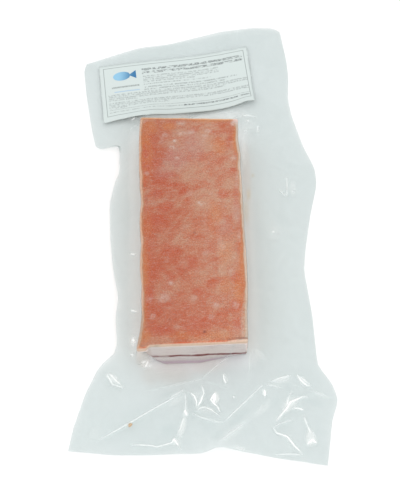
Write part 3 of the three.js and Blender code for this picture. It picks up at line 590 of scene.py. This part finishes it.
# clear film: two sheets that hug the block and meet round it in a creased skirt
film = {
    "sheetGap": 0.45, "cadGap": 0.9,     # between the two sheets in the skirt, here and in the solid (mm)
    "hug": 0.3,                          # film outside the flesh
    "hugFull": 1.8, "hugFade": 1.6,      # film this near hugs the flesh, and less over the next stretch
    "farOff": 14.0,                      # beyond it the distance to the flesh is not measured
    "lipSpan": (-43, -131, 11, 9),       # film under the lip, smoothed: x, y, half width, half depth
    "freeFrom": 0.6, "freeFade": 1.5,    # distance from the flesh where creases begin
    "fineReach": (3.0, 1.8), "broadCrease": 3.0,      # finer faces along all but the broad creases
    "coreWide": 0.75, "glowWide": 3.2,   # painted highlight along each of the creases: its whitest middle and soft halo
    "tightFrom": 0.8, "tightFade": 2.0,  # film on the flesh, out to this distance
    "wallFrom": 5.0, "wallFade": 9.0,    # lower sheet under and beside the block, out to this distance
    # share of hazy film: anywhere, on the lower sheet, on the flesh, on the walls, then what the painted
    # sheen and the painted highlights of the creases add
    "haze": 0.10, "lowerShare": 0.35, "tightShare": 0.3, "wallShare": 0.15,
    "milk": 0.22, "glowHaze": 0.16, "creaseHaze": 0.7,
    # tints: the clear film, the painted shade, the painted brown reflection, stains and walls
    "tint": (0.900, 0.918, 0.918, 1), "dimTint": (0.82, 0.86, 0.86, 1), "dimShare": 0.5,
    "warmTint": (0.86, 0.82, 0.79, 1), "warmShare": 0.85,
    "stainTint": (0.84, 0.72, 0.52, 1), "wallTint": (0.985, 0.988, 0.988, 1),
    # the film's own hazy colour, and the white of its painted highlights and sheen
    "body": tone(222, 232, 230), "bright": tone(252, 254, 252), "rough": 0.16, "bump": 0.0014,
    # noise: stretch along x and y, turn, spots in a metre, detail, roughness, warp
    "crumple": (1, 1, 0, 45, 3, 0.55, 0.8), "fine": (1, 1, 0, 330, 3, 0.6, 0.5),
    "broken": (1, 1, 0, 300, 3, 0.6, 0.4), "cloud": (1, 1, 0, 28, 4, 0.6, 1.0),
    # the outline's notch on the left: x, y, shift, reach (mm)
    "nudges": [
        (-92.5, 80, 1.9, -5.7, 9), (-84, 73.5, 0, 0.6, 6), (-77, 70.5, 0, 0.8, 5),
        (-72, 66, 1.4, 6.8, 8), (-72, 48, 1.7, 0, 8),
    ],
    # creases: path (x, y), height, half width (mm), and strength of the painted highlight along them
    "creases": [
        ([(-77.4, -189.3), (-60, -179.5), (-40, -168), (-11.9, -152.7)], 0.9, 2.0, 0.55),
        ([(-24, -157.2), (-12.5, -151)], 0.5, 1.2, 0.5),
        ([(-11.9, -152.7), (-11.2, -160), (-11.4, -168.5), (-9.7, -170.5)], 0.9, 1.7, 0.5),
        ([(-12.2, -166.5), (-11.4, -168.5), (-10.3, -170)], 0.5, 1.5, 1.0),
        ([(-12, -170), (-15, -180), (-20, -189)], 0.9, 2.4, 0.25),
        ([(-52, -192.3), (-37.7, -193.3), (-32.5, -194.6), (-22, -191.7), (-20, -189), (-14.5, -196.9)],
         0.8, 1.7, 0.7),
        ([(-21.5, -190.5), (-20, -189), (-18.5, -191)], 0.5, 1.7, 1.0),
        ([(-7.8, -152.7), (-4.5, -155.5), (-3.0, -159.5), (-2.8, -163.8)], 0.9, 1.5, 0.75),
        ([(1.2, -146.7), (2.8, -152.7), (0.5, -159), (-2.5, -163.8)], 0.9, 1.4, 0.85),
        ([(-3.1, -166.6), (0, -164), (3.9, -163), (8.6, -165.2), (15.4, -171.6)], 0.7, 1.5, 0.6),
        ([(-6.4, -168.6), (2, -172.3), (11.9, -175.5), (16.8, -176.5)], 0.6, 1.4, 0.45),
        ([(12.1, -150.8), (8.0, -157.2), (10.1, -159.4), (13.5, -163), (15.1, -168)], 0.8, 1.8, 0.95),
        ([(11.4, -152.5), (11, -157), (10.2, -159)], 0.6, 2.4, 1.0),
        ([(-42.6, -150.2), (-19.8, -146.8), (0.2, -142.1), (13.8, -131.1), (27.9, -121.2), (35, -117.4)],
         0.8, 2.2, 0.22),
        ([(-0.3, -142), (12, -145.5), (24.6, -148.5)], 0.4, 1.8, 0.12),
        ([(-74.1, -136.4), (-68.3, -145.6), (-58.8, -148.5)], 0.7, 1.7, 0.6),
        ([(-71.3, -136.4), (-66.4, -142.1), (-58.8, -148.5)], 0.6, 1.4, 0.5),
        ([(18.1, -175.8), (32, -162.8), (48.3, -147.1)], 1.0, 1.8, 0.55),
        ([(54, -144.2), (62, -141), (70.9, -138.3)], 0.7, 1.6, 0.5),
        ([(51.1, -147.1), (57, -147.3), (62.2, -148.6)], 0.5, 1.4, 0.4),
        ([(49.4, -150.5), (49.9, -153), (50, -156)], 0.6, 1.6, 0.9),
        ([(75.1, -137.6), (78, -142), (82.5, -146.4), (86.5, -147.1)], 0.7, 1.6, 0.7),
        ([(75.1, -137.6), (79.5, -140.5), (86.5, -147.1)], 0.5, 1.2, 0.4),
        ([(69.3, -144.2), (85, -150.2), (100, -155.8)], 0.7, 2.0, 0.16),
        ([(83.3, -156.5), (79.9, -155.8), (69.4, -160.1), (66.4, -165.2), (58.5, -174.4)],
         0.9, 1.7, 0.85),
        ([(71.1, -150.8), (68, -157), (66.5, -163)], 0.6, 1.4, 0.5),
        ([(71.9, -165.2), (75, -165.2), (79.4, -166.2)], 0.5, 1.6, 0.9),
        ([(55.6, -180), (58.2, -184.3), (66.2, -187), (71.3, -194), (77.2, -200.2)], 0.8, 1.6, 0.85),
        ([(55.6, -180), (62, -176.5), (70.9, -173.7)], 0.6, 1.5, 0.4),
        ([(79.2, -170.9), (81, -177), (84, -184.3)], 0.7, 1.6, 0.7),
        ([(80.9, -192.6), (85.1, -189.8), (88.4, -191.9)], 0.6, 1.8, 1.0),
        ([(57, -200.2), (66, -199.9), (77.1, -200.9)], 0.5, 1.5, 0.5),
        ([(17.9, -137.6), (18.3, -141), (19.9, -144.2)], 0.7, 1.6, 0.8),
        ([(25.4, -154.6), (26.6, -155.6)], 0.4, 1.4, 0.8),
        ([(60.1, -150), (38, -174.1), (13.3, -193.3)], 1.0, 5.0, 0.08),
        ([(75, 44.4), (74.6, 34), (74.2, 24)], 0.6, 1.5, 0.55),
        ([(68.5, 31), (71, 27.6), (73.1, 24.5)], 0.5, 1.6, 0.45),
        ([(61.8, -10.2), (60.6, -11)], 0.4, 1.5, 0.7),
        ([(37.8, 105), (43, 105.6), (49.2, 105)], 0.5, 1.4, 0.5),
        ([(41.8, 99.5), (42.6, 98.5)], 0.4, 1.4, 0.7),
        ([(39.3, 86.5), (40.4, 85.6)], 0.4, 1.4, 0.5),
        ([(51.3, 95.8), (50.8, 91.5), (51, 87.3)], 0.5, 1.4, 0.6),
        ([(-61.9, 105.4), (-57.5, 106.5)], 0.4, 1.3, 0.6),
        ([(-57.2, 92.0), (-56.8, 90.6)], 0.4, 1.3, 0.7),
        ([(-60.6, 89.3), (-60.2, 88.2)], 0.4, 1.3, 0.7),
        ([(-60.5, 100.8), (-57.9, 103.8)], 0.4, 1.3, 0.7),
        ([(-58, -33.5), (-53.4, -35.3)], 0.4, 1.5, 0.8),
        ([(-55.5, -85), (-51.1, -86.7)], 0.4, 1.5, 0.85),
        ([(-53.2, -109.6), (-52.4, -112.2)], 0.5, 1.7, 1.0),
        ([(-53.9, -122.2), (-52.9, -124.2)], 0.4, 1.6, 0.8),
        ([(-43.0, -133.2), (-40.6, -129.4)], 0.4, 1.2, 0.6),
        ([(-45.6, -130.6), (-42.4, -129.6)], 0.3, 1.1, 0.4),
        ([(-40.0, -133.2), (-38.4, -131.0)], 0.3, 1.2, 0.35),
        ([(39.0, -121), (38.6, -128), (38.4, -136)], 0.4, 1.6, 0.2),
    ],
    # soft places: x, y, half width, half depth, turn, strength (mm); first painted sheen on the hazy film,
    # which also lifts the shade beside the label
    "milkAndSheen": [
        (-30, 103, 40, 9, 8, 1.1), (12, 104, 40, 11, 8, 1.1), (38, 64, 3.5, 26, 0, 0.6),
        (-44, -129, 8, 6, 0, 0.25), (11.8, -156, 4.2, 6.5, -10, 1.6), (5, -166, 9, 4, 0, 0.5),
        (-2, -156, 6, 8, 20, 0.45), (-11.1, -169, 3, 4, 0, 0.8), (-13.7, -180, 3.4, 13, -14, 1.0),
        (-18.8, -160, 9, 3, 28, 0.6), (69, -162, 12, 6, 42, 0.9), (65.6, -166, 4, 4, 0, 1.0),
        (84, -188, 6, 9, 0, 1.1), (84.6, -192, 6, 3, 0, 0.6), (49.4, -153.3, 2.2, 3.2, 0, 1.0),
        (24, -185, 20, 5, 38, 0.6), (48, -166, 14, 4, 44, 0.55), (63.7, -142.7, 10, 3.5, 18, 0.7),
        (80, -143, 6, 4, -40, 0.7), (95, -154, 10, 4, -20, 0.35), (-67.5, -141, 8, 4.5, -42, 0.8),
        (-80, -184, 6, 8, 0, 0.35), (80, 33, 5, 12, 0, 0.7), (62, -10, 10, 14, 0, 0.4),
        (42, 95, 10, 10, 0, 0.55), (-53, -112, 3.4, 7, 0, 0.8), (-43, -131, 5, 4, 0, 0.6),
        (30, -196, 8, 2.2, -8, 0.8), (68, -190, 10, 14, 30, 0.3), (-18, -191, 5, 4, 0, 0.8),
        (20, -141, 3, 5, 0, 0.5), (-62, 103, 6, 6, 30, 0.4), (60, -172, 6, 4, 30, 0.4),
        (47, -122, 8, 4, -40, 0.5),
    ],
    # painted shade on the film: darker facets, and shade between the label and the block
    "paintedShade": [
        (-53, -20, 6, 130, 0, 0.4), (-6, 98, 62, 13, 8, 0.2), (-20, 182, 110, 24, 10, 0.45),
        (-45, -178, 50, 24, 0, 0.3), (-5.2, -169.5, 4, 6, 20, 0.9), (5, -179, 10, 6, -20, 0.7),
        (13.4, -186, 8, 5, 30, 0.9), (30, -172, 16, 4, 44, 1.0), (-24.3, -154, 8, 4, 20, 0.7),
        (-49.5, -167.3, 5, 2.5, -30, 0.7), (88, -160, 10, 4, -10, 0.9), (68, -148.5, 3, 6, -30, 0.7),
        (-24.7, -181, 10, 8, 0, 0.9), (64, -182, 6, 6, 0, 0.4), (-7.5, -160, 3, 8, 0, 1.0),
        (58, -160, 5, 9, -30, 0.5), (70, 10, 6, 20, 0, 0.25), (-62, 0, 5, 40, 0, 0.3),
        (90, -180, 3, 9, -10, 0.4),
    ],
    # painted reflection of the flesh's brown in the film that slopes down from the block, with painted shade
    # under it
    "brownReflectionShade": [
        (-22, -136, 24, 13, 0, 0.8), (4, -131, 24, 9, 8, 0.8), (-38, -138, 12, 11, 0, 0.6),
        (40, 40, 5, 44, 0, 0.7), (39, -40, 4, 60, 0, 0.3), (-44, -129, 8, 7, 0, 1.2),
    ],
    "stains": [(45.5, 42, 1.8, 2.4, 0, 0.5), (41, 22, 2.2, 9, -3, 0.5), (38, 4, 4, 16, 0, 0.35)],
}


# heights from a smoothed twin, outline kept as it is
def smoothHeights(obj):
    twin = obj.copy()
    twin.data = obj.data.copy()
    bpy.context.scene.collection.objects.link(twin)
    applyModifier(twin, "SUBSURF", levels=1)
    applyModifier(obj, "SUBSURF", levels=1, subdivision_type="SIMPLE")
    points = readPoints(obj)
    points[:, 2] = readPoints(twin)[:, 2]
    writePoints(obj, points)
    pickOnly(twin)
    bpy.ops.object.delete()


def nudgeOutline(obj):
    flat = readPoints(obj) / mm
    moved = flat.copy()
    for x, y, dx, dy, reach in film["nudges"]:
        near = np.exp(-((flat[:, 0] - x) ** 2 + (flat[:, 1] - y) ** 2) / reach ** 2)
        moved[:, :2] += np.outer(near, (dx, dy))
    writePoints(obj, moved * mm)


# smaller faces on the upper sheet along the creases
def refineCreases(obj):
    for reach in film["fineReach"]:
        centres, ups = faceCentres(obj) / mm, faceNormals(obj)[:, 2] > 0.2
        close = np.zeros(len(centres), dtype=bool)
        for path, _, wide, _ in film["creases"]:
            if wide < film["broadCrease"]:
                close |= alongPath(centres, path)[0] < reach
        editFaces(obj, close & ups)
        bpy.ops.mesh.subdivide(number_cuts=1)
        leaveEdit()


def makeFilm():
    obj = copyOfNode(pouchNode, "pouchFilm")
    storeMap(obj, "upper", np.where(pointNormals(obj)[:, 2] > 0, 1.0, 0.0))
    smoothHeights(obj)
    editAll(obj)
    bpy.ops.mesh.subdivide(number_cuts=1)
    leaveEdit()
    nudgeOutline(obj)
    refineCreases(obj)
    return obj


def shrinkOnto(obj, target, mode, share, group=""):
    applyModifier(obj, "SHRINKWRAP", target=target, wrap_method="NEAREST_SURFACEPOINT", wrap_mode=mode,
                  offset=film["hug"] * mm * share, vertex_group=group)


# draws the film onto the block where it is close to it, and tells how far off it was (mm)
def hugBlock(obj, target):
    tree = BVHTree.FromObject(target, bpy.context.evaluated_depsgraph_get())
    points = wanderSides(readPoints(obj) / mm) * mm
    writePoints(obj, points)
    farOff = film["farOff"] * mm
    away = np.array([tree.find_nearest(Vector(q), farOff)[3] or farOff for q in points]) / mm
    weights = 1 - ease((away - film["hugFull"]) / film["hugFade"])
    group = obj.vertex_groups.new(name="hug")
    for level in range(1, 11):
        picked = np.nonzero(np.round(weights * 10) == level)[0]
        if len(picked):
            group.add(picked.tolist(), level / 10, "REPLACE")
    shrinkOnto(obj, target, "OUTSIDE_SURFACE", 1.0, "hug")
    shrinkOnto(obj, target, "OUTSIDE", 0.9)
    obj.vertex_groups.clear()
    # the film under the lip spans it smoothly
    editFaces(obj, patch(faceCentres(obj) / mm, *film["lipSpan"]) > 0)
    bpy.ops.mesh.vertices_smooth(factor=0.5, repeat=14)
    leaveEdit()
    shrinkOnto(obj, target, "OUTSIDE", 0.8)
    return away


# raises the creases of the upper sheet and stores what the material reads, among it the painted highlights
# along the creases and the painted sheen, shade and reflection patches
def creaseFilm(obj, away):
    points = readPoints(obj)
    upper = readMap(obj, "upper")
    free = ease((away - film["freeFrom"]) / film["freeFade"])
    points[:, 2] -= upper * free * (film["cadGap"] - film["sheetGap"]) * mm
    flat = points / mm
    highlightCore, glowHighlight, lift = np.zeros((3, len(points)))
    for path, high, wide, strength in film["creases"]:
        near, place = alongPath(flat, path)
        taper = np.clip(np.minimum(place, 1 - place) * 4 + 0.3, 0, 1)
        lift = np.maximum(lift, high * taper * np.clip(1 - near / wide, 0, 1) ** 1.5)
        # painted highlight of each of the creases: a thin middle and a soft halo
        highlightCore = np.maximum(highlightCore, strength * taper * ease(1.2 - near / film["coreWide"]))
        glowHighlight = np.maximum(glowHighlight, strength * taper * ease(1 - near / film["glowWide"]))
    points[:, 2] += upper * free * lift * mm
    points[:, 2] = np.maximum(points[:, 2], 0.0)
    writePoints(obj, points)
    storeMap(obj, "creaseHighlight", highlightCore * upper)
    storeMap(obj, "glowHighlight", glowHighlight * upper)
    storeMap(obj, "tight", 1 - ease((away - film["tightFrom"]) / film["tightFade"]))
    beside = 1 - ease((away - film["wallFrom"]) / film["wallFade"])
    storeMap(obj, "wall", (1 - upper) * beside)
    for name in ("milkAndSheen", "paintedShade", "brownReflectionShade", "stains"):
        storeMap(obj, name, strongestPatch(flat, film[name]) * upper)


def filmMaterial():
    p = Paint("clearFilm")
    crumple, fine, broken, cloud = (p.spots(film[name]) for name in ("crumple", "fine", "broken", "cloud"))
    # painted highlight along the creases, broken up here and there
    creaseHighlight = p.calc("MULTIPLY", p.map("creaseHighlight"), p.span(broken, 0.3, 0.6, 0.7, 1.0))
    haze = p.calc("ADD", p.span(cloud, 0.4, 0.7, 0.0, 0.05), film["haze"])
    shares = {
        "tight": (1.0, film["tightShare"]),
        "upper": (film["lowerShare"], 1.0),
        "wall": (1.0, film["wallShare"]),
    }
    for name, (low, high) in shares.items():
        haze = p.calc("MULTIPLY", haze, p.span(p.map(name), 0, 1, low, high))
    # painted sheen and the painted halo of the creases whiten the film
    for name, share in (("milkAndSheen", "milk"), ("glowHighlight", "glowHaze")):
        haze = p.calc("ADD", haze, p.calc("MULTIPLY", p.map(name), film[share]))
    haze = p.calc("ADD", haze, p.calc("MULTIPLY", creaseHighlight, film["creaseHaze"]), clamp=True)
    normal = p.bump(p.calc("ADD", crumple, p.calc("MULTIPLY", fine, 0.12)), film["bump"], 0.6)
    # painted highlights and sheen turn the film's colour white
    colour = p.mix(p.calc("ADD", creaseHighlight, p.map("milkAndSheen"), clamp=True), film["body"], film["bright"])
    # painted shade darkens the see-through tint
    tint = p.cover(film["tint"], film["dimTint"], "paintedShade", film["dimShare"])
    # painted brown reflection and shade of the block in the film
    tint = p.cover(tint, film["warmTint"], "brownReflectionShade", film["warmShare"])
    tint = p.cover(tint, film["stainTint"], "stains")
    tint = p.cover(tint, film["wallTint"], "wall")
    clear = p.add("ShaderNodeBsdfTransparent")
    p.feed(clear.inputs["Color"], tint)
    mixer = p.add("ShaderNodeMixShader")
    p.feed(mixer.inputs[0], haze)
    p.feed(mixer.inputs[1], clear.outputs[0])
    p.feed(mixer.inputs[2], p.surface(colour, film["rough"], normal, Specular_IOR_Level=0.7))
    return p.show(mixer.outputs[0])


pouchFilm = makeFilm()
blockGap = hugBlock(pouchFilm, tunaBlock)
creaseFilm(pouchFilm, blockGap)
pickOnly(pouchFilm)
bpy.ops.object.shade_smooth()
finishPiece(pouchFilm, "pouch", filmMaterial())
print("film made", len(pouchFilm.data.polygons))


# a dried drop of juice on the film
drop = {
    "at": (-53.8, -177.5), "wide": 3.2, "deep": 3.6, "high": 0.7, "lift": 0.1,     # mm
    "lumps": [(3, 0.12, 1), (5, 0.08, 0)],       # waves round its edge, their depth and start
    "colour": tone(176, 140, 104), "speckle": tone(206, 184, 156), "rough": 0.35,
}


def filmTop(x, y):
    tree = BVHTree.FromObject(pouchFilm, bpy.context.evaluated_depsgraph_get())
    return tree.ray_cast(Vector((x, y, 0.2)), Vector((0, 0, -1)))[0].z


def makeDrop():
    x, y = drop["at"][0] * mm, drop["at"][1] * mm
    bpy.ops.mesh.primitive_uv_sphere_add(segments=28, ring_count=14, radius=0.5)
    obj = bpy.context.object
    obj.name = obj.data.name = "juiceDrop"
    points = readPoints(obj)
    turn = np.arctan2(points[:, 1], points[:, 0])
    edge = 1 + sum(depth * np.sin(waves * turn + start) for waves, depth, start in drop["lumps"])
    points[:, :2] *= edge[:, None]
    points *= np.array([drop["wide"], drop["deep"], drop["high"]]) * mm
    writePoints(obj, points + np.array([x, y, filmTop(x, y) + drop["lift"] * mm]))
    pickOnly(obj)
    bpy.ops.object.shade_smooth()
    return obj


def dropMaterial():
    p = Paint("driedJuice")
    speckled = p.layer(drop["colour"], drop["speckle"], p.noise(p.scaled(1, 1, 1), 900, 3), 0.4, 0.6)
    return p.show(p.surface(speckled, drop["rough"]))


juiceDrop = makeDrop()
finishPiece(juiceDrop, "pouch", dropMaterial())
print("drop made")


# the paper label, stuck on the film past the far end of the block
paper = {
    "wide": 137.0, "deep": 63.4,     # size of the label (mm)
    "farLeft": (-93.36, 162.04), "farRight": (43.14, 185.54), "nearLeft": (-85.86, 99.04),
    "clear": 0.1, "thick": 0.18,     # between paper and film, and of the paper (mm)
    "feel": 1.0,                     # reach within which the highest film carries the paper
    # how far the far and near edges wave towards the block: share of the width, shift (mm)
    "farWave": [(0, -0.6), (0.27, 0.8), (0.48, 1.4), (0.68, 2.3), (0.82, 2.0), (0.93, 0.6), (1, -0.4)],
    "nearWave": [
        (0, -0.8), (0.1, -2.0), (0.17, -1.6), (0.23, -0.4), (0.28, 0.8), (0.45, 1.1), (0.6, 2.1), (0.7, 2.4),
        (0.78, 1.4), (0.86, 0.0), (0.92, -1.2), (0.97, -0.8), (1, 0),
    ],
    # print: left, right, top, foot (mm)
    "frameLine": (3.6, 133.2, 3.0, 57.6), "lineWide": 0.5,
    "greyRow": (10, 35, 25.0, 26.8), "blueRow": (12, 35, 30.4, 31.6),
    # rows of print: left, right, top, rows, pitch, height of a row, darkness, length of a word (mm)
    "rows": [
        (38.5, 131, 7.8, 1, 2, 2.6, 0.75, 9), (38.5, 131, 11.6, 1, 2, 2.6, 0.75, 9),
        (39, 108, 16.2, 3, 2.1, 1.5, 0.42, 4), (39, 86, 22.5, 1, 2.1, 1.5, 0.42, 4),
        (39, 100, 25.3, 1, 2, 1.2, 0.45, 4), (39, 124, 28.4, 1, 2.4, 1.5, 0.5, 4),
        (39, 114, 30.9, 1, 2.4, 1.5, 0.5, 4), (6, 133, 33.4, 2, 2.0, 1.6, 0.42, 4),
        (6, 112, 37.4, 1, 2, 1.6, 0.42, 4), (6, 32, 39.4, 1, 2, 1.5, 0.38, 4),
        (6, 133, 42.4, 2, 2.0, 1.6, 0.42, 4), (6, 60, 46.4, 1, 2.0, 1.6, 0.38, 4),
        (6, 22, 48.2, 1, 2.0, 1.4, 0.38, 4), (6, 133, 50.6, 1, 2, 0.5, 0.5, 90),
        (6, 72, 53.0, 1, 2, 1.0, 0.45, 4), (72, 132, 52.7, 1, 2, 1.6, 0.85, 6),
    ],
    "white": tone(203, 213, 211), "fleck": tone(200, 206, 204), "ink": tone(84, 90, 92),
    "border": tone(120, 128, 128), "blue": tone(120, 170, 214), "rough": 0.6,
}


# height of the film's highest place around each point
def filmUnder(points):
    tree = BVHTree.FromObject(pouchFilm, bpy.context.evaluated_depsgraph_get())
    reach, found = paper["feel"], []
    for x, y in points[:, :2]:
        around = [(x + i * reach, y + j * reach) for i in (-1, 0, 1) for j in (-1, 0, 1)]
        hits = [tree.ray_cast(Vector((px * mm, py * mm, 0.2)), Vector((0, 0, -1)))[0] for px, py in around]
        found.append(max(hit.z / mm for hit in hits if hit))
    return np.array(found)


def makeLabel():
    obj = copyOfNode(labelNode, "labelPaper")
    editAll(obj)
    bpy.ops.mesh.subdivide(number_cuts=2)
    leaveEdit()
    points = readPoints(obj) / mm
    isTop = pointNormals(obj)[:, 2] > 0
    start = np.array(paper["farLeft"])
    side, back = np.array(paper["farRight"]) - start, np.array(paper["nearLeft"]) - start
    places = np.linalg.solve(np.column_stack([side, back]), (points[:, :2] - start).T).T
    down = np.clip(places[:, 1], 0, 1)
    points[:, 1] -= np.interp(places[:, 0], *np.array(paper["farWave"]).T) * (1 - down)
    points[:, 1] -= np.interp(places[:, 0], *np.array(paper["nearWave"]).T) * down ** 2
    points[:, 2] = filmUnder(points) + paper["clear"] + paper["thick"] * isTop
    writePoints(obj, points * mm)
    uv = obj.data.uv_layers.new(name="print")
    corners = np.empty(len(obj.data.loops), dtype=np.int64)
    obj.data.loops.foreach_get("vertex_index", corners)
    uv.data.foreach_set("uv", places[corners].ravel())
    pickOnly(obj)
    bpy.ops.object.shade_smooth_by_angle(angle=math.radians(40))
    return obj


def paperMaterial():
    p = Paint("printedPaper")
    uv = p.add("ShaderNodeUVMap", uv_map="print").outputs[0]
    split = p.add("ShaderNodeSeparateXYZ")
    p.feed(split.inputs[0], uv)
    u = p.calc("MULTIPLY", split.outputs[0], paper["wide"])
    v = p.calc("MULTIPLY", split.outputs[1], paper["deep"])

    def between(value, low, high, soft=0.15):
        above, below = p.span(value, low - soft, low + soft), p.span(value, high + soft, high - soft)
        return p.calc("MULTIPLY", above, below)

    def box(left, right, top, foot):
        return p.calc("MULTIPLY", between(u, left, right), between(v, top, foot))

    # noise that runs along the rows, coarse for words and fine for their strokes
    def strokes(step, rise):
        spot = p.add("ShaderNodeCombineXYZ")
        p.feed(spot.inputs[0], p.calc("DIVIDE", u, step))
        p.feed(spot.inputs[1], p.calc("MULTIPLY", v, rise))
        return p.noise(spot.outputs[0], 1.0, 2, 0.6)

    letters = p.span(strokes(1.25, 0.83), 0.36, 0.58, 0.35, 1.0)
    words = {size: p.span(strokes(size * 0.42, 0.4), 0.44, 0.5, 0.1, 1.0) for size in (4, 6, 9)}
    ink = 0.0
    for left, right, top, rows, pitch, high, dark, size in paper["rows"]:
        row = p.calc("FRACT", p.calc("DIVIDE", p.calc("SUBTRACT", v, top), pitch))
        stripe = p.span(row, high / pitch + 0.08, high / pitch - 0.08) if rows > 1 else 1.0
        foot = top + (rows - 1) * pitch + high
        field = p.calc("MULTIPLY", box(left, right, top, foot), stripe)
        field = p.calc("MULTIPLY", p.calc("MULTIPLY", field, dark), words.get(size, 1.0))
        ink = p.calc("MAXIMUM", ink, field)
    ink = p.calc("MULTIPLY", ink, letters)
    left, right, top, foot = paper["frameLine"]
    thin = paper["lineWide"]
    inside = box(left + thin, right - thin, top + thin, foot - thin)
    frameLine = p.calc("SUBTRACT", box(left, right, top, foot), inside)
    flecks = p.noise(p.scaled(1, 1, 1), 800, 3)
    colour = p.layer(paper["white"], paper["fleck"], flecks, 0.3, 0.7, 0.06)
    colour = p.mix(p.calc("MULTIPLY", frameLine, 0.8), colour, paper["border"])
    greyRow = p.calc("MULTIPLY", box(*paper["greyRow"]), p.calc("MULTIPLY", letters, 0.55))
    colour = p.mix(greyRow, colour, paper["ink"])
    colour = p.mix(p.calc("MULTIPLY", box(*paper["blueRow"]), 0.45), colour, paper["blue"])
    colour = p.mix(ink, colour, paper["ink"])
    return p.show(p.surface(colour, paper["rough"], Specular_IOR_Level=0.4))


labelPaper = makeLabel()
finishPiece(labelPaper, "label", paperMaterial())
print("label made")


# a plain fish on the label
emblem = {
    "middle": (22.5, 13.8),          # on the label, from its far left corner (mm)
    "long": 21.0, "high": 9.5, "tail": 8.0, "neck": 0.5,
    "lift": 0.06, "thick": 0.04,
    "bodyMiddle": -0.25, "bodyHalf": 0.75, "tailStart": 0.42,     # along it, from -1 to 1
    "fade": (-0.076, -0.060),        # from light to blue along x (m)
    "blue": tone(44, 112, 160), "light": tone(140, 190, 218), "rough": 0.55,
}


def onLabel(across, down):
    start = np.array(paper["farLeft"])
    side = (np.array(paper["farRight"]) - start) / paper["wide"]
    back = (np.array(paper["nearLeft"]) - start) / paper["deep"]
    return start + np.outer(across, side) + np.outer(down, back)


def makeEmblem():
    bpy.ops.mesh.primitive_grid_add(x_subdivisions=48, y_subdivisions=16, size=2)
    obj = bpy.context.object
    obj.name = obj.data.name = "labelEmblem"
    points = readPoints(obj)
    along, over = points[:, 0].copy(), points[:, 1].copy()
    start, neck = emblem["tailStart"], emblem["neck"]
    body = 1 - ((along - emblem["bodyMiddle"]) / emblem["bodyHalf"]) ** 2
    body = np.sqrt(np.clip(body, 0, 1)) * emblem["high"] / 2
    tail = np.clip((along - start) / (1 - start), 0, 1) * emblem["tail"] / 2 + neck
    half = np.where(along < start, np.maximum(body, np.where(along > 0, neck, 0)), tail)
    across = emblem["middle"][0] + along * emblem["long"] / 2
    down = emblem["middle"][1] + over * half
    points[:, :2] = onLabel(across, down) * mm
    tree = BVHTree.FromObject(labelPaper, bpy.context.evaluated_depsgraph_get())
    for i, (x, y) in enumerate(points[:, :2]):
        points[i, 2] = tree.ray_cast(Vector((x, y, 0.2)), Vector((0, 0, -1)))[0].z + emblem["lift"] * mm
    writePoints(obj, points)
    editAll(obj)
    bpy.ops.mesh.remove_doubles(threshold=1e-6)
    bpy.ops.mesh.normals_make_consistent(inside=False)
    leaveEdit()
    if faceNormals(obj)[:, 2].mean() < 0:
        editAll(obj)
        bpy.ops.mesh.flip_normals()
        leaveEdit()
    applyModifier(obj, "SOLIDIFY", thickness=emblem["thick"] * mm, offset=1)
    return obj


def emblemMaterial():
    p = Paint("emblemPrint")
    colour = p.layer(emblem["light"], emblem["blue"], p.axes()[0], *emblem["fade"])
    return p.show(p.surface(colour, emblem["rough"]))


labelEmblem = makeEmblem()
finishPiece(labelEmblem, "label", emblemMaterial())
print("emblem made")


# metres and watts
studio = {
    "floor": 0.93, "floorSize": 6, "floorDepth": 0.0004, "world": 0.86,
    "key": {"at": (-0.35, 0.3, 1.4), "aim": (0, -0.02, 0), "size": 1.6, "watts": 6.5},
    "front": {"at": (0.25, -1.0, 1.2), "aim": (0, 0, 0), "size": 1.5, "watts": 6.5},
}
shot = {
    "elevation": 63.0, "away": 0.812, "target": (-0.00026, -0.04066, 0.030),
    "lens": 72.72, "sensor": 36.0,
}


def makeFloor():
    bpy.ops.mesh.primitive_plane_add(size=studio["floorSize"], location=(0, 0, -studio["floorDepth"]))
    obj = bpy.context.object
    obj.name = "floor"
    p = Paint("floorCard")
    grey = studio["floor"]
    obj.data.materials.append(p.show(p.surface((grey, grey, grey, 1), 0.9, Specular_IOR_Level=0.1)))


def addLight(name, setup):
    data = bpy.data.lights.new(name, "AREA")
    data.size = setup["size"]
    data.energy = setup["watts"]
    obj = bpy.data.objects.new(name, data)
    bpy.context.scene.collection.objects.link(obj)
    obj.location = setup["at"]
    obj.rotation_euler = (Vector(setup["aim"]) - Vector(setup["at"])).to_track_quat("-Z", "Y").to_euler()


def makeWorld():
    world = bpy.data.worlds.new("studio")
    world.use_nodes = True
    back = world.node_tree.nodes["Background"]
    back.inputs["Color"].default_value = (1, 1, 1, 1)
    back.inputs["Strength"].default_value = studio["world"]
    bpy.context.scene.world = world


def makeCamera():
    data = bpy.data.cameras.new("camera")
    data.lens = shot["lens"]
    data.sensor_width = shot["sensor"]
    obj = bpy.data.objects.new("camera", data)
    bpy.context.scene.collection.objects.link(obj)
    tilt = math.radians(shot["elevation"])
    obj.location = Vector(shot["target"]) + shot["away"] * Vector((0, -math.cos(tilt), math.sin(tilt)))
    obj.rotation_euler = (math.radians(90 - shot["elevation"]), 0, 0)
    bpy.context.scene.camera = obj


makeFloor()
addLight("key", studio["key"])
addLight("front", studio["front"])
makeWorld()
makeCamera()
bpy.context.scene.view_settings.view_transform = "Standard"
bpy.context.scene.view_settings.look = "None"
print("studio made")
